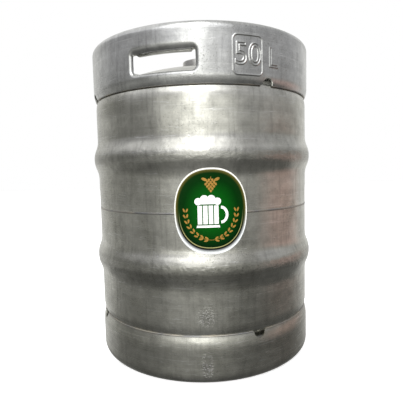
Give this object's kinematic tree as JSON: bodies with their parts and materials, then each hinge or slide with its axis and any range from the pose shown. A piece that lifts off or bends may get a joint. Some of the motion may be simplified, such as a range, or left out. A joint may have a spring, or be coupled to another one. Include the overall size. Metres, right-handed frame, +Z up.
{
  "type": "beer keg",
  "caption": "Fifty litre stainless steel beer keg with rolling hoops, a collar with hand holes, a foot ring, an oval label and a threaded spear with sprung gas and beer valves.",
  "frame": {"origin": "centre of the foot, on the keg's axis at floor level", "axes": "+Z up along the keg's axis, -Y towards the label, +X to the label's right"},
  "size_m": [0.3949, 0.395, 0.532],
  "materials": {
    "stainless_sheet": "worn satin, scratched",
    "weld_metal": "dull weld bead",
    "machined_stainless": "turned",
    "spring_wire": "bright drawn wire",
    "polished_ball": "polished",
    "black_rubber": "matt",
    "label_print": "printed, semi-gloss"
  },
  "bodies": {
    "keg": {"lower_shell": "stainless_sheet", "upper_shell": "stainless_sheet", "girth_weld": "weld_metal", "top_chime": "stainless_sheet", "top_chime_weld": "weld_metal", "foot_chime": "stainless_sheet", "foot_chime_weld": "weld_metal", "neck": "machined_stainless", "neck_weld": "weld_metal", "label": "label_print"},
    "spear_carrier": {"neck_seal": "black_rubber"},
    "spear": {"spear_housing": "machined_stainless", "spring_cage": "machined_stainless", "valve_spring": "spring_wire"},
    "valve_stem": {"stem_head": "machined_stainless", "down_tube": "machined_stainless", "seal_washer": "machined_stainless", "valve_seal": "black_rubber", "ball_spring": "spring_wire"},
    "ball": {"beer_ball": "polished_ball"}
  },
  "joints": [
    {"name": "spear_lift", "type": "slide", "parent": "keg", "child": "spear_carrier", "axis": [0, 0, 1], "range_m": [0, 0.016]},
    {"name": "spear_turn", "type": "hinge", "parent": "spear_carrier", "child": "spear", "pos_m": [0, 0, 0.519], "axis": [0, 0, 1], "range_deg": [0, 3168]},
    {"name": "gas_valve", "type": "slide", "parent": "spear", "child": "valve_stem", "axis": [0, 0, -1], "range_m": [0, 0.006], "stiffness_N_per_m": 5000, "springref_m": -0.01, "deforming": ["valve_spring"]},
    {"name": "beer_valve", "type": "slide", "parent": "valve_stem", "child": "ball", "axis": [0, 0, -1], "range_m": [0, 0.004], "stiffness_N_per_m": 300, "springref_m": -0.01, "deforming": ["ball_spring"]}
  ],
  "couplings": [
    {"joint": "spear_lift", "follows": "spear_turn", "m_per_rad": 0.00028875}
  ]
}
